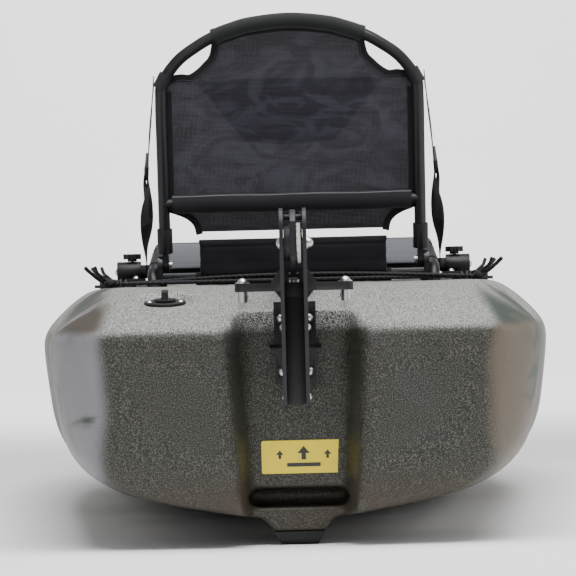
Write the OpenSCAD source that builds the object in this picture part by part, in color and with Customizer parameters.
// Sit-on-top fishing kayak with a framed mesh seat and a flip-up stern rudder.
// X runs to starboard, Y runs forward to the bow and Z runs up. The kayak stands on Z = 0, and the
// origin is under the middle of its box. Places along the hull are distances forward of the transom.

/* [Hull] */
// Length of the moulded hull, transom to bow
hull_length = 3100; // [2600:10:3720]
// Greatest width of the hull
hull_beam = 880; // [734:2:1056]
// Height of the flat side decks above the floor
deck_height = 372; // [340:1:446]
// Wall of the rotomoulded shell
hull_wall = 4; // [3.5:0.5:5]

/* [Wells] */
// Half width of the seat well
seat_well_half = 246; // [244:0.5:248]
// Depth of the seat well below the side decks
seat_well_depth = 82; // [68:1:98]
// Depth of the rear tank well below the side decks
tank_well_depth = 115; // [96:1:138]
// Height of the footwell floor above the floor the kayak stands on
footwell_floor = 120; // [100:1:144]
// Radius of the scupper holes
scupper_r = 19; // [15:0.5:23]

/* [Rudder] */
// Distance from the yaw pin back to the blade's own pivot
blade_setback = 82; // [80:1:98]
// Height of the blade's pivot above the side decks
blade_pivot_rise = 56; // [54:1:67]
// Length of the blade from its pivot to its tip
blade_length = 480; // [400:5:540]
// Thickness of the blade
blade_t = 8; // [6:0.5:10]
// Thickness of each cheek plate of the rudder head
cheek_t = 5.5; // [4.5:0.5:6.6]
// Clear gap between the cheek plates
cheek_gap = 27; // [24:0.5:30]
// Reach of each yoke arm from the middle to its cable bolt
yoke_reach = 73; // [61:1:80]
// Radius of the yaw pin
yaw_pin_r = 6; // [5:0.2:7.2]

/* [Seat] */
// Half width of the seat base, to the middle of its side tubes
base_half = 231; // [230:0.5:232]
// Height of the back frame above its pivot
back_height = 402; // [335:1:482]
// Outside radius of the seat's tubes
tube_r = 9.5; // [8:0.5:10]
// Length of the seat pan, rear tube to front tube
pan_length = 355; // [296:1:370]
// Lean of the back behind upright
back_lean = 12; // [8:1:16]
// Radius of the crossbar under the seat
crossbar_r = 10; // [8.5:0.5:12]

/* [Deck fittings] */
// Half distance between the gear rails
rail_half = 270; // [268:0.5:274]
// Width of a gear rail
rail_w = 30; // [27:1:36]
// Height of a gear rail
rail_h = 9.5; // [9:0.5:11.5]
// Bore radius of the flush rod holders
rod_bore_r = 22; // [18.5:0.5:26]
// Radius of the bungee cord
bungee_r = 3; // [2.5:0.1:3.6]

/* [Hidden] */
$fn = 40;

fit_gap = 0.3;          // gap where two pieces only rest on each other
run_gap = 0.06;         // radial clearance of a turning pin

// ---- where things lie along the hull, forward of the transom ----
recess_depth = 72;      // the rudder's recess in the transom
yaw_d = 37;             // yaw pin
blade_d = yaw_d - blade_setback;
cheek_reach = 30;       // cheek plate aft of the blade's pivot
overhang = cheek_reach - blade_d;
transom_y = -(hull_length - overhang) / 2;
function y_at(d) = transom_y + d;

tank_d = [262, 880];
seat_well_d = [915, 1530];
footwell_d = [1530, 2480];
seat_floor = deck_height - seat_well_depth;
hatch_d = [hull_length - 545, hull_length - 265];
hatch_z = deck_height + 40;

// ---- small functions ----
function unit(v) = v / norm(v);
function spline(p, t) = ((1 - t)^3 * p[0] + (3*t^3 - 6*t^2 + 4) * p[1]
                         + (-3*t^3 + 3*t^2 + 3*t + 1) * p[2] + t^3 * p[3]) / 6;
function disc_points(r, n) = [for (i = [0:n-1]) r * [cos(360*i/n), sin(360*i/n)]];
function slab_points(w, t) = [[-w/2, -t/2], [w/2, -t/2], [w/2, t/2], [-w/2, t/2]];
// A path with its corners rounded by short curves.
function rounded(path, r) = [for (i = [0:len(path)-1])
    each (i == 0 || i == len(path)-1) ? [path[i]]
    : let (a = unit(path[i-1] - path[i]), b = unit(path[i+1] - path[i]))
      [for (t = [0:0.25:1]) path[i] + r*(a*(1-t)^2 + b*t^2)]];

// A bar of any profile along a path. up is a direction that the path never runs along.
module sweep(path, profile, up) {
    n = len(path);
    m = len(profile);
    points = [for (i = [0:n-1])
        let (t = unit(path[min(i+1, n-1)] - path[max(i-1, 0)]), s = unit(cross(t, up)), w = cross(s, t))
        for (p = profile) path[i] + p.x*s + p.y*w];
    sides = [for (i = [0:n-2], j = [0:m-1])
        let (a = i*m + j, b = i*m + (j+1)%m) each [[a, b, b+m], [a, b+m, a+m]]];
    polyhedron(points, concat([[for (j = [m-1:-1:0]) j]], sides, [[for (j = [0:m-1]) (n-1)*m + j]]));
}
module round_bar(path, r, up, sides = 12) { sweep(path, disc_points(r, sides), up); }
module both_sides() { for (side = [0, 1]) mirror([side, 0, 0]) children(); }
module along_x(r, x0, x1, facets = 40) {
    translate([x0, 0, 0]) rotate([0, 90, 0]) cylinder(r = r, h = x1 - x0, $fn = facets);
}
module along_y(r, d0, d1, facets = 40) {
    translate([0, y_at(d0), 0]) rotate([-90, 0, 0]) cylinder(r = r, h = d1 - d0, $fn = facets);
}
// A solid cut from the side profile [distance, height], between x0 and x1.
module side_plate(profile, x0, x1) {
    translate([x0, 0, 0]) rotate([90, 0, 90]) linear_extrude(x1 - x0) polygon([for (p = profile) [y_at(p.x), p.y]]);
}
module box(x0, x1, d0, d1, z0, z1) { translate([x0, y_at(d0), z0]) cube([x1 - x0, d1 - d0, z1 - z0]); }
module tube(r, bore, h) {
    difference() {
        cylinder(r = r, h = h);
        translate([0, 0, -1]) cylinder(r = bore, h = h + 2);
    }
}
module dome(r, h) {
    intersection() {
        translate([0, 0, h - (r*r + h*h)/(2*h)]) sphere(r = (r*r + h*h)/(2*h));
        cylinder(r = r + 1, h = h + 1);
    }
}

// ================= hull =================
// A station: distance, half beam, drop of the knuckle below the deck, half width of the deck, drop of the
// deck's edge, half width and height of the chine, half width and height of the bottom, keel height, shrink.
L = hull_length;
transom_station = [291, 76, 280, 65, 268, 110, 240, 72, 31];
bow_station = [36, 20, 28, -34, 26, 296, 14, 250, 236];
stations = [
    for (shrink = [0.35, 0.70, 0.97]) concat([0], transom_station, [shrink]),
    [10,      303, 76, 281, 61, 284, 112, 243,  72,  30, 1],
    [50,      338, 73, 276, 47, 322, 124, 250,  72,  28, 1],
    [110,     354, 72, 262, 24, 336, 126, 256,  70,  26, 1],
    [190,     362, 74, 260,  0, 342, 124, 266,  64,  22, 1],
    [350,     374, 76, 292,  0, 352, 132, 262,  62,  20, 1],
    [600,     392, 77, 322,  0, 368, 122, 268,  42,  10, 1],
    [0.3*L,   412, 78, 340,  0, 390, 110, 278,  24,   1, 1],
    [0.42*L,  436, 80, 356,  0, 414,  99, 294,  11,  -2, 1],
    [0.52*L,  443, 82, 362,  0, 422,  94, 302,   6,  -1, 1],
    [0.64*L,  430, 80, 356,  0, 402,  98, 284,  10,   0, 1],
    [0.75*L,  382, 74, 310,  0, 340, 112, 222,  20,   2, 1],
    [0.855*L, 292, 60, 238, -16, 240, 150, 130,  52,  22, 1],
    [L-210,   196, 46, 156, -34, 150, 200,  72, 110,  70, 1],
    [L-85,    112, 34,  88, -46,  84, 244,  38, 172, 138, 1],
    [L-22,     56, 26,  44, -44,  42, 280,  20, 226, 200, 1],
    for (shrink = [0.95, 0.70, 0.35]) concat([L], bow_station, [shrink])];
base_beam = 886;
base_deck = 372;
function half_section(s, inset) =
    let (k = hull_beam/base_beam, v = deck_height/base_deck, beam = s[1]*k - inset,
         knuckle = deck_height - s[2], deck = s[3]*k - inset, top = deck_height - s[4] - inset,
         chine = s[5]*k - inset, chine_z = s[6]*v + inset, flat = s[7]*k - inset, flat_z = s[8]*v + inset,
         keel = s[9]*v + inset)
    [[0, keel], [flat/2, (keel + flat_z)/2], [flat, flat_z], [chine, chine_z],
     [chine + 0.55*(beam - chine), (chine_z + knuckle)/2], [beam, knuckle - 18], [beam - 3, knuckle + 14],
     [deck, top], [deck - min(35, deck/3), top], [0.6*deck, top], [0.3*deck, top], [0, top]];
function station_ring(s, inset) =
    let (h = half_section(s, inset), n = len(h), mid = (h[0].y + h[n-1].y)/2, k = s[10],
         y = y_at(max(inset, min(L - inset, s[0]))))
    concat([for (p = h) [k*p.x, y, mid + k*(p.y - mid)]],
           [for (i = [n-2:-1:1]) [-k*h[i].x, y, mid + k*(h[i].y - mid)]]);
function smooth_ring(c, sub) = let (n = len(c))
    [for (i = [0:n-1], s = [0:sub-1]) spline([c[(i+n-1)%n], c[i], c[(i+1)%n], c[(i+2)%n]], s/sub)];

module hull_form(inset, ring_sub, row_sub) {
    rows = [for (s = stations) smooth_ring(station_ring(s, inset), ring_sub)];
    m = len(rows[0]);
    end = len(rows) - 3;
    rings = concat(
        [for (i = [1:end], s = [0:row_sub-1])
            [for (k = [0:m-1]) spline([rows[i-1][k], rows[i][k], rows[i+1][k], rows[i+2][k]], s/row_sub)]],
        [[for (k = [0:m-1]) spline([rows[end-1][k], rows[end][k], rows[end+1][k], rows[end+2][k]], 1)]]);
    n = len(rings);
    sides = [for (i = [0:n-2], j = [0:m-1])
        let (a = i*m + j, b = i*m + (j+1)%m) each [[a, b, b+m], [a, b+m, a+m]]];
    polyhedron([for (ring = rings) each ring],
               concat([[for (j = [m-1:-1:0]) j]], sides, [[for (j = [0:m-1]) (n-1)*m + j]]));
}

// A well with upright rounded corners and a chamfered floor. pairs lists [half width, distance], aft first.
module well(pairs, z0, z1, r, floor_r, grow = 0) {
    end = len(pairs) - 1;
    hull() for (i = [0:end], side = [-1, 1]) {
        d = pairs[i].y + (i == 0 ? r : i == end ? -r : 0);
        translate([side*(pairs[i].x - r), y_at(d), 0]) {
            translate([0, 0, z0 + floor_r - grow]) cylinder(r = r + grow, h = z1 - z0 - floor_r + grow, $fn = 24);
            translate([0, 0, z0 - grow]) cylinder(r = r - floor_r + grow, h = 1, $fn = 24);
        }
    }
}
sky = deck_height + 90;
module tank_well(grow = 0) {
    well([[222, tank_d[0]], [230, 520], [230, tank_d[1]]], deck_height - tank_well_depth, sky, 60, 14, grow);
}
module seat_well(grow = 0) {
    half = seat_well_half;
    well([[half, seat_well_d[0]], [half, seat_well_d[1] + 40]], seat_floor, sky, 36, 2.5, grow);
}
foot_half = 230;
module footwell(grow = 0) {
    well([[foot_half, footwell_d[0]], [foot_half, 2120], [118, footwell_d[1]]], footwell_floor, sky, 40, 16, grow);
}
module console(grow = 0) {
    top = seat_floor - 40;
    hull() {
        box(-48 - grow, 48 + grow, footwell_d[0] - 60, 2150 + grow, footwell_floor - 40, top - 20 + grow);
        box(-34 - grow, 34 + grow, footwell_d[0] - 60, 2080 + grow, footwell_floor - 40, top + grow);
        box(-60 - grow, 60 + grow, footwell_d[0] - 60, 2230 + grow, footwell_floor - 40, footwell_floor + 2);
    }
}
hatch_outline = [[104, hatch_d[0]], [98, hatch_d[0] + 140], [60, hatch_d[1]]];
function wider(pairs, by) = [for (i = [0:len(pairs)-1])
    [pairs[i].x + by, pairs[i].y + (i == 0 ? -by : i == len(pairs)-1 ? by : 0)]];
module hatch_form(by, z0, z1, floor_r = 0.5, grow = 0) {
    well(wider(hatch_outline, by), z0, z1, 40 + by, floor_r, grow);
}
module hatch_coaming() {
    hatch_form(16, deck_height - 60, hatch_z);
    box(-18, 18, latch_d - 14, hatch_d[0], deck_height - 60, hatch_z);
    box(-44, 44, hatch_d[1], hinge_d + 8, deck_height - 60, hatch_z);
}
module hatch_bucket(grow = 0) { hatch_form(0, deck_height - 130, sky, 12, grow); }
// The recess that the rudder works in: wide at the transom, narrower at its back wall.
module rudder_recess(grow = 0) {
    hull() for (level = [[-20, 82, 62], [deck_height + 60, 112, 84]])
        translate([0, y_at(0), level[0]]) linear_extrude(1) polygon([
            [-level[1] - grow, -20], [level[1] + grow, -20],
            [level[2] + grow, recess_depth + grow], [-level[2] - grow, recess_depth + grow]]);
}
pocket_z = [53, 80];    // hand pocket under the recess's back wall
module hand_pocket(grow = 0) {
    hull() for (x = [-60, 60], d = [50, 118])
        translate([x, y_at(d), pocket_z[0] - grow])
            cylinder(r = 14 + grow, h = pocket_z[1] - pocket_z[0] + 2*grow, $fn = 20);
}
skid_top = 18;
skeg_half = [[84, 60], [84, 53], [71, 50], [58, 43], [47, 32], [40, 22], [36, skid_top]];
module skeg() {
    outline = concat(skeg_half, [for (i = [len(skeg_half)-1:-1:0]) [-skeg_half[i].x, skeg_half[i].y]]);
    translate([0, y_at(560), 0]) rotate([90, 0, 0]) linear_extrude(560 - recess_depth) polygon(outline);
}
skid_d = [74, 380];
module skid_body(grow = 0) {
    intersection() {
        side_plate([[skid_d[0], 7], [skid_d[0] + 7, 0], [skid_d[1] - 60, 0],
                    [skid_d[1], skid_top + grow], [skid_d[0], skid_top + grow]], -50, 50);
        translate([0, y_at(skid_d[1] + 10), 0]) rotate([90, 0, 0]) linear_extrude(400) polygon(
            [[-26 - grow, -1], [26 + grow, -1], [36 + grow, skid_top + 1], [-36 - grow, skid_top + 1]]);
    }
}
module bottom_channel(grow = 0) {
    both_sides() hull() for (d = [520, 2150])
        translate([130, y_at(d), -46]) sphere(r = 60 + grow, $fn = 24);
}
// Pockets in the topsides for the carry handles.
handle_d = L/2;
handle_z = deck_height - 102;
handle_x = hull_beam/2 - 18;
module side_pocket(grow = 0) {
    both_sides() hull() for (d = [-80, 80], z = [-52, 4])
        translate([handle_x - 18 - grow, y_at(handle_d + d), handle_z + z]) rotate([0, 90, 0])
            cylinder(r = 14 + grow, h = 90, $fn = 16);
}
scuppers = [[150, 770], [190, 1120], [150, 2060]];
module scupper_holes(grow = 0) {
    both_sides() for (s = scuppers)
        translate([s.x, y_at(s.y), -30]) cylinder(r = scupper_r + grow, h = seat_floor + 50, $fn = 24);
}
drain = [-186, 130];    // across, and forward of the transom
drain_z = deck_height - 26;
drain_tilt = 8;
drain_pocket_r = 41;
drain_hole_r = 12.4;
module at_drain() { translate([drain.x, y_at(drain.y), drain_z]) rotate([drain_tilt, 0, 0]) children(); }
module drain_pocket(grow = 0) { at_drain() translate([0, 0, -grow]) cylinder(r = drain_pocket_r + grow, h = 70, $fn = 36); }
// Flush rod holders, leaning aft and a little outboard.
rod_at = [288, 884];
rod_wall = 3;
rod_depth = 180;
module at_rod_holder() { translate([rod_at.x, y_at(rod_at.y), deck_height]) rotate([24, 6, 0]) children(); }
cable_z = deck_height - 19;     // the steering cables leave the stern deck at this height
fairlead_r = 7;
cable_entry = [foot_half, 1712, 200];

module hull_shell() {
    color("#6f705f") difference() {
        union() {
            hull_form(0, 3, 2);
            skeg();
            hatch_coaming();
        }
        difference() {
            hull_form(hull_wall, 2, 1);
            tank_well(hull_wall);
            seat_well(hull_wall);
            difference() { footwell(hull_wall); console(-hull_wall); }
            hatch_bucket(hull_wall);
            rudder_recess(hull_wall);
            hand_pocket(hull_wall);
            side_pocket(hull_wall);
            bottom_channel(hull_wall);
            scupper_holes(hull_wall);
            drain_pocket(hull_wall);
        }
        tank_well();
        seat_well();
        difference() { footwell(); console(); }
        hatch_bucket();
        rudder_recess();
        hand_pocket();
        side_pocket();
        bottom_channel();
        scupper_holes();
        drain_pocket();
        at_drain() translate([0, 0, -40]) cylinder(r = drain_hole_r, h = 42, $fn = 24);
        both_sides() {
            at_rod_holder() translate([0, 0, -60]) cylinder(r = rod_bore_r + rod_wall + fit_gap, h = 120, $fn = 24);
            translate([yoke_reach, 0, cable_z]) along_y(fairlead_r + fit_gap, 90, 185, 20);
            translate([cable_entry.x - 20, y_at(cable_entry.y), cable_entry.z]) along_x(4, 0, 60, 12);
        }
        skid_body(fit_gap);
    }
}

module skid_plate() {
    color("#101010") difference() {
        skid_body();
        for (d = [110, 200, 290]) translate([0, y_at(d), -1]) {
            cylinder(r = 3.2, h = 40);
            cylinder(r = 6.4, h = 5);
        }
    }
}
module skid_screws() {
    color("silver") for (d = [110, 200, 290]) translate([0, y_at(d), 0]) {
        translate([0, 0, 2]) cylinder(r = 3, h = skid_top - 2);
        translate([0, 0, 1.2]) cylinder(r = 6, h = 2.6);
    }
}
module recess_label() {
    color("gold") box(-52, 68, recess_depth - 0.9, recess_depth, 101, 148);
}

// ---- drain plug ----
module drain_flange() {
    color("#151515") at_drain() difference() {
        union() {
            cylinder(r = 30, h = 4);
            translate([0, 0, -16]) cylinder(r = drain_hole_r - fit_gap, h = 18);
        }
        translate([0, 0, -20]) cylinder(r = 9, h = 30);
        for (x = [-22.5, 22.5]) translate([x, 0, -1]) cylinder(r = 2.1, h = 10);
    }
}
module drain_screws() {
    color("silver") at_drain() for (x = [-22.5, 22.5]) translate([x, 0, 0]) {
        translate([0, 0, 0.2]) cylinder(r = 2, h = 5);
        translate([0, 0, 4]) dome(4, 2);
    }
}
module drain_plug() {
    color("#111111") at_drain() {
        translate([0, 0, -12]) cylinder(r = 9 - run_gap, h = 16.5);
        translate([0, 0, 4 + fit_gap]) cylinder(r = 15.5, h = 3.4);
        translate([-4.75, -13, 7]) cube([9.5, 26, 12.4]);
    }
}

// ---- bow hatch ----
rim_top = hatch_z + 5;
lid_z = rim_top + 2.2;
hinge_d = hatch_d[1] + 44;
hinge_z = lid_z + 3;
latch_d = hatch_d[0] - 40;
module hatch_rim() {
    color("#161616") difference() {
        union() {
            difference() {
                hatch_form(22, hatch_z, rim_top);
                hatch_form(2, hatch_z - 5, rim_top + 20);
            }
            for (x = [-40, 28]) {
                box(x, x + 12, hinge_d - 30, hinge_d + 6, hatch_z, rim_top);
                box(x, x + 12, hinge_d - 6, hinge_d + 6, hatch_z, hinge_z);
            }
            translate([0, y_at(hinge_d), hinge_z]) for (x = [-40, 28]) along_x(6, x, x + 12);
            box(-16, 16, latch_d - 12, hatch_d[0] - 14, hatch_z, rim_top);
        }
        translate([0, y_at(hinge_d), hinge_z]) along_x(3, -60, 60);
        translate([0, y_at(latch_d), hatch_z - 1]) cylinder(r = 3, h = 30);
    }
}
module hatch_seal() {
    color("#050505") difference() {
        hatch_form(14, rim_top, lid_z - 0.2);
        hatch_form(8, rim_top - 5, rim_top + 20);
    }
}
module hatch_lid() {
    color("#1b1b1b") difference() {
        union() {
            hatch_form(21, lid_z, lid_z + 5);
            hatch_form(8, lid_z + 4, lid_z + 11);
            box(-27, 27, hinge_d - 30, hinge_d, lid_z, lid_z + 5);
            translate([0, y_at(hinge_d), hinge_z]) along_x(6, -27, 27);
        }
        translate([0, y_at(hinge_d), hinge_z]) along_x(3 + run_gap, -60, 60);
    }
}
module hatch_hinge_pin() {
    color("silver") translate([0, y_at(hinge_d), hinge_z]) {
        along_x(3, -40, 40);
        along_x(5, -43, -40);
        along_x(5, 40, 43);
    }
}
latch_z = lid_z + 5 + fit_gap;
latch_reach = 29;       // the arm rests turned aside, and a quarter turn swings it over the lid's edge
module hatch_latch() {
    color("#222222") difference() {
        union() {
            box(-9, latch_reach, latch_d - 9, latch_d + 9, latch_z, latch_z + 5);
            translate([0, y_at(latch_d), rim_top + fit_gap]) cylinder(r = 9, h = latch_z + 5 - rim_top - fit_gap);
        }
        translate([0, y_at(latch_d), 0]) cylinder(r = 3 + run_gap, h = 900);
    }
}
module latch_screw() {
    color("silver") translate([0, y_at(latch_d), 0]) {
        translate([0, 0, hatch_z + 0.5]) cylinder(r = 3, h = latch_z + 5.5 - hatch_z - 0.5);
        translate([0, 0, latch_z + 5 + fit_gap]) dome(6.5, 3.4);
    }
}

// ---- carry handles ----
bow_handle_d = [L - 165, L - 75];
bow_foot_z = [deck_height + 40.3, deck_height + 44.4];   // the deck climbs between the two feet
bow_screw_x = 20;
module bow_handle() {
    low = bow_foot_z[0] + 3;
    high = bow_foot_z[1] + 34;
    path = rounded([for (p = [[bow_handle_d[0], low], [bow_handle_d[0], high],
                              [bow_handle_d[1], high], [bow_handle_d[1], low + 5]]) [0, y_at(p.x), p.y]], 18);
    color("#141414") {
        round_bar(path, 8, [1, 0, 0]);
        for (i = [0, 1]) translate([0, y_at(bow_handle_d[i]), bow_foot_z[i]]) difference() {
            hull() for (x = [-bow_screw_x, bow_screw_x]) translate([x, 0, 0]) cylinder(r = 12, h = 6, $fn = 28);
            for (x = [-bow_screw_x, bow_screw_x]) translate([x, 0, -1]) cylinder(r = 3, h = 9);
        }
    }
}
module bow_handle_screws() {
    color("silver") for (i = [0, 1], x = [-bow_screw_x, bow_screw_x])
        translate([x, y_at(bow_handle_d[i]), bow_foot_z[i]]) {
            translate([0, 0, 1]) cylinder(r = 2.9, h = 6);
            translate([0, 0, 6]) dome(5.6, 2.8);
        }
}
grip_half = 62;
grip_drop = 42;
handle_pivot_z = handle_z + 2;
module at_handle(side) { translate([side*(handle_x - 4), y_at(handle_d), handle_pivot_z]) children(); }
module lying_y(r, y0, y1) { translate([0, y0, 0]) rotate([-90, 0, 0]) cylinder(r = r, h = y1 - y0); }
module handle_ears() {
    color("#141414") for (side = [-1, 1], end = [-1, 1]) at_handle(side) mirror([0, end < 0 ? 1 : 0, 0])
        difference() {
            union() {
                translate([side > 0 ? -14 : 0, 69, -9]) cube([14, 8, 18]);
                lying_y(9, 69, 77);
            }
            lying_y(3, 60, 90);
        }
}
module handle_pins() {
    color("silver") for (side = [-1, 1], end = [-1, 1]) at_handle(side) mirror([0, end < 0 ? 1 : 0, 0]) {
        lying_y(3, 53, 77);
        lying_y(4.5, 77, 79);
    }
}
module side_handle(side) {
    path = rounded([[0, -grip_half, -6], [0, -grip_half, -grip_drop], [0, grip_half, -grip_drop], [0, grip_half, -6]], 12);
    color("#1a1a1a") at_handle(side) {
        round_bar(path, 5, [1, 0, 0]);
        translate([0, 0, -grip_drop]) lying_y(7.5, -44, 44);
        for (end = [-1, 1]) mirror([0, end < 0 ? 1 : 0, 0]) difference() {
            lying_y(7.5, grip_half - 6, grip_half + 6);
            lying_y(3 + run_gap, 0, 100);
        }
    }
}

// ---- gear rails ----
rail_d = [960, 1900];
slot_half = 5.5;
slot_room = 9.5;
module gear_rails() {
    half = rail_w/2;
    color("silver") both_sides() translate([rail_half, y_at(rail_d[1]), deck_height]) rotate([90, 0, 0])
        linear_extrude(rail_d[1] - rail_d[0]) difference() {
            polygon([[-half, 0.2], [half, 0.2], [half, rail_h - 1.5], [half - 1.5, rail_h], [-half + 1.5, rail_h],
                     [-half, rail_h - 1.5]]);
            polygon([[-slot_room, 2.4], [slot_room, 2.4], [slot_room, rail_h - 2.4], [slot_half, rail_h - 2.4],
                     [slot_half, rail_h + 1], [-slot_half, rail_h + 1], [-slot_half, rail_h - 2.4],
                     [-slot_room, rail_h - 2.4]]);
        }
}
module rail_screws() {
    color("gray") both_sides() for (d = [rail_d[0] + 20, 1180, 1640, rail_d[1] - 20])
        translate([rail_half, y_at(d), deck_height + 2.4]) cylinder(r = 4.5, h = 1.6);
}

// ---- rod holders ----
module rod_holder() {
    color("#121212") difference() {
        union() {
            at_rod_holder() translate([0, 0, -rod_depth]) cylinder(r = rod_bore_r + rod_wall, h = rod_depth + 12);
            translate([rod_at.x, y_at(rod_at.y), deck_height + fit_gap]) cylinder(r = rod_bore_r + 12, h = 5);
        }
        at_rod_holder() translate([0, 0, 4 - rod_depth]) cylinder(r = rod_bore_r, h = rod_depth + 60);
        translate([rod_at.x - 60, y_at(rod_at.y) - 60, deck_height + fit_gap + 9]) cube([120, 120, 60]);
    }
}

// ---- tank well bungee ----
eye_share = 0.423;      // of the deck between the tank well and the deck's edge
eye_x = 230 + eye_share*(322*hull_beam/base_beam - 230);
eye_d = [600, 800];
eye_ring = 8;
eye_bar = 2.4;
cord_z = deck_height + bungee_r + 2.9;
module pad_eyes() {
    color("#1c1c1c") both_sides() for (d = eye_d) translate([eye_x, y_at(d), deck_height + 0.2]) {
        difference() {
            union() {
                translate([-7, -19, 0]) cube([14, 38, 2]);
                translate([0, 0, 3.4]) rotate([0, 90, 0]) rotate_extrude() translate([eye_ring, 0]) circle(r = eye_bar, $fn = 16);
            }
            translate([-20, -30, -20]) cube([40, 60, 20]);
            for (y = [-15, 15]) translate([0, y, -1]) cylinder(r = 2, h = 5);
        }
    }
}
// One run of cord: tail, knot, eye, across the well, eye, knot, tail.
module bungee_run(side, lift) {
    tail = [[-54, -14, 26], [-46, -8, 18], [-30, -2, 5], [-16, 0, 0], [0, 0, 0]];
    start = [-side*eye_x, y_at(eye_d[0]), cord_z];
    finish = [side*eye_x, y_at(eye_d[1]), cord_z];
    path = concat([for (p = tail) start + [side*p.x, p.y, p.z]],
                  [for (t = [0.06, 0.3, 0.5, 0.7, 0.94]) start + t*(finish - start) + [0, 0, lift*sin(180*t)]],
                  [for (i = [len(tail)-1:-1:0]) finish + [-side*tail[i].x, -tail[i].y, tail[i].z]]);
    round_bar(path, bungee_r, [0, 0, 1], 8);
    for (p = [start - [side*18, 0, 0], finish + [side*18, 0, 0]]) translate(p + [0, 0, 2]) sphere(r = 7.5, $fn = 12);
}
module tankwell_bungee() {
    color("#0c0c0c") {
        bungee_run(1, 0.5);
        bungee_run(-1, 9);
    }
}

// ---- foot controls ----
foot_rail_d = [1700, 2080];
foot_rail_z = 200;
foot_rail_t = 14;
pedal_d = 1950;
module foot_rails() {
    color("#2a2a2a") both_sides() difference() {
        box(foot_half - fit_gap - foot_rail_t, foot_half - fit_gap, foot_rail_d[0], foot_rail_d[1], foot_rail_z - 13, foot_rail_z + 13);
        box(foot_half - 30, foot_half - 6, foot_rail_d[0] + 20, foot_rail_d[1] - 20, foot_rail_z - 5, foot_rail_z + 5);
    }
}
module foot_pedal(side) {
    face = foot_half - fit_gap - foot_rail_t;
    color("#202020") mirror([side < 0 ? 1 : 0, 0, 0]) {
        box(face - 12, face - fit_gap, pedal_d - 28, pedal_d + 28, foot_rail_z - 20, foot_rail_z + 20);
        box(face - 2, foot_half - 8, pedal_d - 24, pedal_d + 24, foot_rail_z - 4.5, foot_rail_z + 4.5);
        translate([face - 46, y_at(pedal_d), foot_rail_z + 22]) rotate([14, 0, 0]) hull()
            for (x = [-34, 34], z = [-44, 52]) translate([x, 0, z]) rotate([90, 0, 0]) cylinder(r = 10, h = 9, $fn = 24);
    }
}

// ================= seat =================
pivot_d = 1010;         // hinge of the seat back
pivot_z = deck_height + 36;
rear_tube_d = 1075;
rear_tube_z = deck_height + 14;
pan_rise = 0.104;       // climb of the side tubes for each millimetre forward
side_tube_z = rear_tube_z + 15;
function tube_z(d) = side_tube_z + pan_rise*(d - rear_tube_d);
front_tube_d = rear_tube_d + pan_length;
leg_d = [rear_tube_d - 75, front_tube_d + 25];
foot_h = 11;
crossbar_d = 1330;
block_r = crossbar_r + 7.5;
rail_top = deck_height + rail_h;
crossbar_z = rail_top + fit_gap + block_r;
back_half = base_half - 2*tube_r - 2;   // the back frame folds down between the base's side tubes
module at_pivot() { translate([0, y_at(pivot_d), pivot_z]) children(); }
module on_back() { at_pivot() rotate([back_lean, 0, 0]) children(); }

side_tube_path = rounded([[base_half, y_at(leg_d[0]), seat_floor + foot_h], [base_half, y_at(leg_d[0]), tube_z(leg_d[0])],
                          [base_half, y_at(leg_d[1]), tube_z(leg_d[1])], [base_half, y_at(leg_d[1]), seat_floor + foot_h]], 28);
lug_x = back_half + 4.8;
module seat_base_frame() {
    color("#141414") {
        both_sides() round_bar(side_tube_path, tube_r, [1, 0, 0], 16);
        translate([0, y_at(rear_tube_d), rear_tube_z]) along_x(tube_r, -base_half, base_half);
        translate([0, y_at(front_tube_d), tube_z(front_tube_d)]) along_x(tube_r, -base_half, base_half);
        both_sides() difference() {
            union() {
                at_pivot() along_x(15, lug_x, base_half - tube_r + 2);
                box(lug_x, base_half - tube_r + 2, pivot_d - 13, pivot_d + 20, tube_z(pivot_d) - 8, pivot_z);
            }
            at_pivot() along_x(4, 100, 300);
        }
    }
}
module seat_feet() {
    color("#0a0a0a") both_sides() for (d = leg_d) translate([base_half, y_at(d), seat_floor + fit_gap]) {
        cylinder(r = tube_r + 2.5, h = foot_h - fit_gap);
    }
}
module seat_sling() {
    low = rear_tube_z + tube_r + 0.6;
    high = tube_z(front_tube_d) + tube_r + 1.4;
    color("#62666c") side_plate([[rear_tube_d - 6, low], [front_tube_d + 4, high], [front_tube_d + 4, high + 3],
                                 [rear_tube_d - 6, low + 3]], -base_half + tube_r + 2.5, base_half - tube_r - 2.5);
}
wrap_half = 162;
module rear_tube_wrap() {
    color("#0d0d0d") translate([0, y_at(rear_tube_d), rear_tube_z]) difference() {
        along_x(tube_r + 3, -wrap_half, wrap_half);
        along_x(tube_r + 0.05, -300, 300);
        translate([-300, -30, tube_r]) cube([600, 60, 20]);
    }
}
tongue_x = [lug_x - fit_gap - 10, lug_x - fit_gap];
module pivot_bolts() {
    color("silver") both_sides() at_pivot() {
        along_x(4 - run_gap, tongue_x[0] - 1, base_half - tube_r - 0.5);
        translate([tongue_x[0] - fit_gap, 0, 0]) rotate([0, -90, 0]) cylinder(r = 7, h = 5);
    }
}
bar_end = rail_half + 30;
module crossbar() {
    color("#161616") translate([0, y_at(crossbar_d), crossbar_z]) along_x(crossbar_r, -bar_end, bar_end);
}
module crossbar_saddles() {
    top = tube_z(crossbar_d);
    color("#1d1d1d") both_sides() difference() {
        box(base_half - 11, base_half + 11, crossbar_d - 16, crossbar_d + 16, crossbar_z - 4, top + 3);
        translate([0, y_at(crossbar_d), crossbar_z]) along_x(crossbar_r + 0.05, 0, 400);
        round_bar(side_tube_path, tube_r + 0.05, [1, 0, 0], 16);
    }
}
block_x = [rail_half - 8, bar_end + 3];
foot_bolt_d = 27;       // foot bolts either side of the crossbar
foot_top = rail_top + 6;
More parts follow.
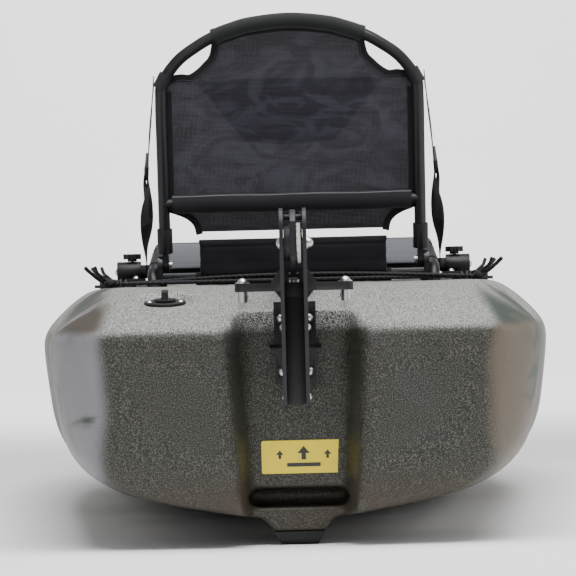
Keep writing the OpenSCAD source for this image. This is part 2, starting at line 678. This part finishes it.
module clamp_blocks() {
    color("#131313") both_sides() difference() {
        union() {
            translate([0, y_at(crossbar_d), crossbar_z]) along_x(block_r, block_x[0], block_x[1]);
            box(rail_half - 15, rail_half + 15, crossbar_d - 38, crossbar_d + 38, rail_top + fit_gap, foot_top);
        }
        translate([0, y_at(crossbar_d), crossbar_z]) along_x(crossbar_r + 0.05, 0, bar_end + 0.3);
        translate([knob_x, y_at(crossbar_d), crossbar_z]) cylinder(r = 3, h = 100);
        for (d = [-foot_bolt_d, foot_bolt_d])
            translate([rail_half, y_at(crossbar_d + d), 0]) cylinder(r = 3.2, h = 900);
    }
}
knob_x = rail_half + 7;
knob_z = crossbar_z + block_r + fit_gap;
module clamp_studs() {
    color("silver") both_sides() {
        translate([knob_x, y_at(crossbar_d), crossbar_z + crossbar_r + 0.2])
            cylinder(r = 2.9, h = knob_z + 8 - crossbar_z - crossbar_r);
        for (d = [-foot_bolt_d, foot_bolt_d]) translate([rail_half, y_at(crossbar_d + d), 0]) {
            translate([0, 0, deck_height + 3]) cylinder(r = 8, h = rail_h - 2.4 - 3.4);
            translate([0, 0, deck_height + 4]) cylinder(r = 3, h = foot_top + 3 - deck_height - 4);
            translate([0, 0, foot_top + 0.1]) dome(6, 5);
        }
    }
}
module clamp_end_screws() {
    color("silver") both_sides() translate([block_x[1], y_at(crossbar_d), crossbar_z]) rotate([0, 90, 0]) dome(6, 4);
}
module clamp_knob(side) {
    color("#101010") translate([side*knob_x, y_at(crossbar_d), knob_z]) difference() {
        union() {
            cylinder(r = 8, h = 5);
            translate([0, 0, 4]) cylinder(r = 12, h = 9);
            for (a = [0:60:300]) rotate([0, 0, a]) translate([12, 0, 4]) cylinder(r = 3.4, h = 9, $fn = 20);
        }
        translate([0, 0, -1]) cylinder(r = 2.9 + run_gap, h = 9.5);
    }
}

// ---- seat back, drawn upright on its pivot and then leaned ----
top_w = back_height;
shoulder_w = back_height - 98;
cross_w = 102;
frame_half = [[back_half, 26], [back_half, shoulder_w], [back_half - 33, top_w - 60], [back_half - 88, top_w - 24],
              [back_half - 150, top_w - 5], [0, top_w]];
frame_path = rounded([for (p = concat(frame_half, [for (i = [len(frame_half)-2:-1:0]) [-frame_half[i].x, frame_half[i].y]]))
                      [p.x, 0, p.y]], 14);
module back_frame() {
    color("#121212") on_back() {
        round_bar(frame_path, tube_r, [0, 1, 0], 14);
        translate([0, 0, cross_w]) along_x(tube_r, -back_half, back_half);
    }
}
mesh_half = back_half - 4;
mesh_y = tube_r + 0.6;
neck_half = 158;
neck_w = 52;
module back_mesh() {
    edge = [[neck_half, neck_w], [neck_half + 6, 66], [mesh_half - 4, cross_w - 18], [mesh_half, cross_w],
            [mesh_half, shoulder_w - 22], [mesh_half - 18, shoulder_w + 16], [mesh_half - 46, top_w - 56],
            [mesh_half - 78, top_w - 26], [back_half - 92, top_w - 24], [back_half - 150, top_w - 6], [0, top_w - 1]];
    outline = concat(edge, [for (i = [len(edge)-2:-1:0]) [-edge[i].x, edge[i].y]]);
    color("#1f2029") on_back() translate([0, mesh_y + 2.4, 0]) rotate([90, 0, 0]) linear_extrude(2.4) polygon(outline);
}
grip_end = 123;
module top_grip() {
    path = [for (p = frame_path) if (abs(p.x) <= grip_end) p];
    color("#0e0e0e") on_back() difference() {
        round_bar(path, tube_r + 3, [0, 1, 0], 14);
        round_bar(frame_path, tube_r + 0.05, [0, 1, 0], 14);
        translate([-300, mesh_y - 0.3, 0]) cube([600, 30, 900]);
    }
}
module lumbar_panel() {
    color("#0d0d0d") on_back() hull()
        for (x = [-wrap_half + 6, wrap_half - 6], w = [-24, neck_w - 6 - fit_gap])
        translate([x, mesh_y + 1.2, w]) rotate([90, 0, 0]) cylinder(r = 6, h = 8, center = true, $fn = 20);
}
module pivot_brackets() {
    color("#181818") both_sides() on_back() difference() {
        union() {
            along_x(13, tongue_x[0], tongue_x[1]);
            translate([tongue_x[0], -12, 0]) cube([tongue_x[1] - tongue_x[0], 24, 24]);
            translate([back_half, 0, 20]) cylinder(r = tube_r + 3, h = 40);
        }
        along_x(4, 0, 300);
        translate([back_half, 0, 26]) cylinder(r = tube_r + 0.05, h = 60);
    }
}

// ---- straps that hold the back upright ----
strap_w = 25;
strap_t = 1.6;
strap_up = [0, -back_height*0.76*sin(back_lean), back_height*0.76*cos(back_lean)];
strap_top = [back_half + tube_r + 1.2, y_at(pivot_d) + strap_up.y, pivot_z + strap_up.z];
strap_low = [(base_half + 11 + block_x[0])/2, y_at(crossbar_d) - 4, crossbar_z + crossbar_r + 1.2];
strap_bow = [4, 0, 0];
function strap_point(t) = strap_top + t*(strap_low - strap_top) + sin(180*t)*strap_bow;
module strap_run(grow) {
    sweep([for (t = [0:0.1:1]) strap_point(t)], slab_points(strap_w + grow, strap_t + grow), [1, 0, 0]);
}
module back_strap() { color("#0b0b0b") strap_run(0); }
buckle_t = 0.45;
module strap_buckles() {
    way = unit(strap_point(buckle_t + 0.05) - strap_point(buckle_t - 0.05));
    lean = atan2(way.z, way.y);
    color("#050505") both_sides() difference() {
        translate(strap_point(buckle_t)) rotate([lean, 0, 0])
            translate([-4, -15, -17]) cube([8, 30, 34]);
        strap_run(0.6);
    }
}

// ================= rudder =================
module at_yaw() { translate([0, y_at(yaw_d), 0]) children(); }
module at_blade() { translate([0, y_at(blade_d), deck_height + blade_pivot_rise]) children(); }
blade_pivot_z = deck_height + blade_pivot_rise;
lug_t = 5.8;
upper_lug = deck_height - 32;
lower_lug = deck_height - 92;
arm_z = deck_height - 11;
arm_t = 12;
lug_r = 18;
module rudder_bracket() {
    plate = recess_depth - 6;
    color("#1a1a1a") difference() {
        union() {
            box(-30, 30, plate, recess_depth, deck_height - 142, upper_lug + lug_t);
            hull() {
                at_yaw() translate([0, 0, upper_lug]) cylinder(r = lug_r, h = lug_t);
                box(-18, 18, plate - 4, plate + 1, upper_lug, upper_lug + lug_t);
            }
            hull() {
                at_yaw() translate([0, 0, lower_lug]) cylinder(r = lug_r, h = lug_t);
                box(-37, 37, plate - 8, plate + 1, lower_lug, lower_lug + lug_t);
            }
        }
        at_yaw() cylinder(r = yaw_pin_r + 0.01, h = 900);
        for (p = bracket_holes) translate([p.x, 0, p.y]) along_y(3.1, plate - 20, recess_depth + 20);
    }
}
bracket_holes = [for (x = [-20, 20], z = [-126, -50]) [x, deck_height + z]];
module bracket_bolts() {
    plate = recess_depth - 6;
    color("silver") for (p = bracket_holes) translate([p.x, 0, p.y]) {
        along_y(3, plate - 2, recess_depth - 0.2);
        translate([0, y_at(plate), 0]) rotate([90, 0, 0]) dome(6, 3.6);
    }
}
module yaw_pin() {
    color("silver") at_yaw() {
        translate([0, 0, lower_lug - 9]) cylinder(r = yaw_pin_r, h = arm_z + arm_t + 1 - lower_lug + 9);
        translate([0, 0, arm_z + arm_t + fit_gap]) cylinder(r = 9.5, h = 3.4);
        translate([0, 0, lower_lug - 7]) cylinder(r = 9.5, h = 6.8);
    }
}
web_d = [4, 15];        // the web between the cheeks, just forward of the blade when it is down
inner = cheek_gap/2 - 0.1;
module rudder_yoke() {
    hub_z = upper_lug + lug_t + fit_gap;
    color("#161616") difference() {
        union() {
            at_yaw() translate([0, 0, hub_z]) cylinder(r1 = lug_r - 2, r2 = 28, h = arm_z - hub_z + 0.01);
            both_sides() hull() {
                at_yaw() translate([0, 0, arm_z]) cylinder(r = 20, h = arm_t, $fn = 32);
                at_yaw() translate([yoke_reach, 0, arm_z]) cylinder(r = 11, h = arm_t, $fn = 32);
            }
            box(-inner, inner, web_d[0], yaw_d, arm_z - 8, arm_z + arm_t);
            both_sides() translate([0, y_at(web_d[0] + 12), 0]) rotate([90, 0, 0]) linear_extrude(6)
                polygon([for (p = [[7, -1], [32, -1], [32, 2], [19, 20], [7, 20]]) [p.x, arm_z + arm_t + p.y]]);
            both_sides() box(7, 32, web_d[0] + 6, yaw_d, arm_z, arm_z + arm_t);
        }
        at_yaw() cylinder(r = yaw_pin_r + run_gap, h = 900);
        both_sides() at_yaw() translate([yoke_reach, 0, 0]) cylinder(r = 3, h = 900);
    }
}
cheek_bolt_d = 9.5;
cheek_bolts_z = [deck_height - 63, deck_height - 161];
cheek_circles = [[blade_d, blade_pivot_z + 19, cheek_reach], [blade_d, blade_pivot_z, cheek_reach],
                 [-10, deck_height - 42, 26], [-4, deck_height - 159, 18]];
module rudder_cheeks() {
    color("#141414") both_sides() difference() {
        hull() for (c = cheek_circles)
            translate([0, y_at(c[0]), c[1]]) along_x(c[2], cheek_gap/2, cheek_gap/2 + cheek_t, 48);
        at_blade() along_x(5, 0, 60);
        for (z = cheek_bolts_z) translate([0, y_at(cheek_bolt_d), z]) along_x(3, 0, 60);
    }
}
module rudder_core() {
    low = lower_lug + lug_t + fit_gap;
    high = upper_lug - fit_gap;
    color("#202020") difference() {
        union() {
            at_yaw() translate([0, 0, low]) cylinder(r = 13, h = high - low);
            box(-10, 10, web_d[0], yaw_d, low + 2, high - 2);
            box(-inner, inner, web_d[0], web_d[1], cheek_bolts_z[1] - 10, arm_z - 8.2);
        }
        at_yaw() cylinder(r = yaw_pin_r + run_gap, h = 900);
        for (z = cheek_bolts_z) translate([0, y_at(cheek_bolt_d), z]) along_x(3, -60, 60);
    }
}
module cheek_bolts() {
    outer = cheek_gap/2 + cheek_t;
    color("silver") {
        for (z = cheek_bolts_z) translate([0, y_at(cheek_bolt_d), z]) {
            along_x(2.98, -outer - 1, outer + 1);
            translate([outer, 0, 0]) rotate([0, 90, 0]) dome(5.5, 4);
            translate([-outer, 0, 0]) rotate([0, -90, 0]) dome(5.5, 3);
        }
        at_blade() {
            along_x(4.98, -outer - 1, outer + 1);
            translate([outer, 0, 0]) rotate([0, 90, 0]) cylinder(r = 9, h = 1.5);
            translate([outer + 1.5, 0, 0]) rotate([0, 90, 0]) dome(7, 8);
            translate([-outer, 0, 0]) rotate([0, -90, 0]) dome(8.5, 4.5);
        }
    }
}
module cable_bolts() {
    color("silver") both_sides() at_yaw() translate([yoke_reach, 0, 0]) {
        translate([0, 0, cable_z - 7]) cylinder(r = 2.98, h = arm_z + arm_t + 1 - cable_z + 7);
        translate([0, 0, arm_z + arm_t]) cylinder(r = 10, h = 1.6);
        translate([0, 0, arm_z + arm_t + 1.6]) dome(7.5, 6);
        translate([0, 0, cable_z - 7]) cylinder(r = 7, h = arm_z - cable_z + 7 - 0.1);
    }
}
cable_r = 1.6;
fairlead_d = [122, 156];
module steering_cables() {
    color("#303030") both_sides() round_bar(
        [for (t = [0:0.125:1]) [yoke_reach, y_at(yaw_d + 7.1 + t*(fairlead_d[0] + 12 - yaw_d - 7.1)), cable_z]],
        cable_r, [0, 0, 1], 8);
}
module cable_fairleads() {
    color("#0e0e0e") both_sides() translate([yoke_reach, 0, cable_z]) difference() {
        along_y(fairlead_r, fairlead_d[0], fairlead_d[1]);
        along_y(cable_r + 0.2, fairlead_d[0] - 5, fairlead_d[1] + 5);
    }
}
drum_r = 24.5;
haul_pin_w = 36;
drum_half = cheek_gap/2 - 0.4;
blade_edge = [[-26, -20], [-6, -36], [34, -46], [120, -50], [0.8*blade_length, -42], [0.93*blade_length, -32],
              [0.985*blade_length, -14], [blade_length, 4], [0.985*blade_length, 22], [0.93*blade_length, 34],
              [0.8*blade_length, 42], [120, 48], [10, 47], [-10, 43], [-24, 30]];
module rudder_blade() {
    color("#1c1c1c") at_blade() difference() {
        union() {
            translate([-blade_t/2, 0, 0]) rotate([90, 0, 90]) linear_extrude(blade_t) polygon(blade_edge);
            along_x(drum_r, -drum_half, drum_half);
            translate([0, 0, haul_pin_w]) along_x(4, -drum_half, drum_half);
        }
        along_x(5 + run_gap, -60, 60);
    }
}
module haul_line() {
    color("#d8d8d0") at_blade() translate([8, 0, 0]) rotate([0, 90, 0])
        rotate_extrude() translate([drum_r + 2.1, 0]) circle(r = 2, $fn = 16);
}

hull_shell();  // hull
skid_plate();
skid_screws();
recess_label();
drain_flange();
drain_screws();
drain_plug();
hatch_rim();
hatch_seal();
hatch_lid();
hatch_hinge_pin();
hatch_latch();
latch_screw();
bow_handle();
bow_handle_screws();
handle_ears();
handle_pins();
side_handle(-1);  // side_handle_left
side_handle(1);  // side_handle_right
gear_rails();
rail_screws();
mirror([1, 0, 0]) rod_holder();  // rod_holder_left
rod_holder();  // rod_holder_right
pad_eyes();
tankwell_bungee();
foot_rails();
foot_pedal(-1);  // foot_pedal_left
foot_pedal(1);  // foot_pedal_right
seat_base_frame();
seat_feet();
seat_sling();
rear_tube_wrap();
pivot_bolts();
crossbar();
crossbar_saddles();
clamp_blocks();
clamp_studs();
clamp_end_screws();
clamp_knob(-1);  // clamp_knob_left
clamp_knob(1);  // clamp_knob_right
back_frame();
back_mesh();
top_grip();
lumbar_panel();
pivot_brackets();
mirror([1, 0, 0]) back_strap();  // back_strap_left
back_strap();  // back_strap_right
strap_buckles();
rudder_bracket();
bracket_bolts();
yaw_pin();
rudder_yoke();
rudder_cheeks();
rudder_core();
cheek_bolts();
cable_bolts();
steering_cables();
cable_fairleads();
rudder_blade();
haul_line();
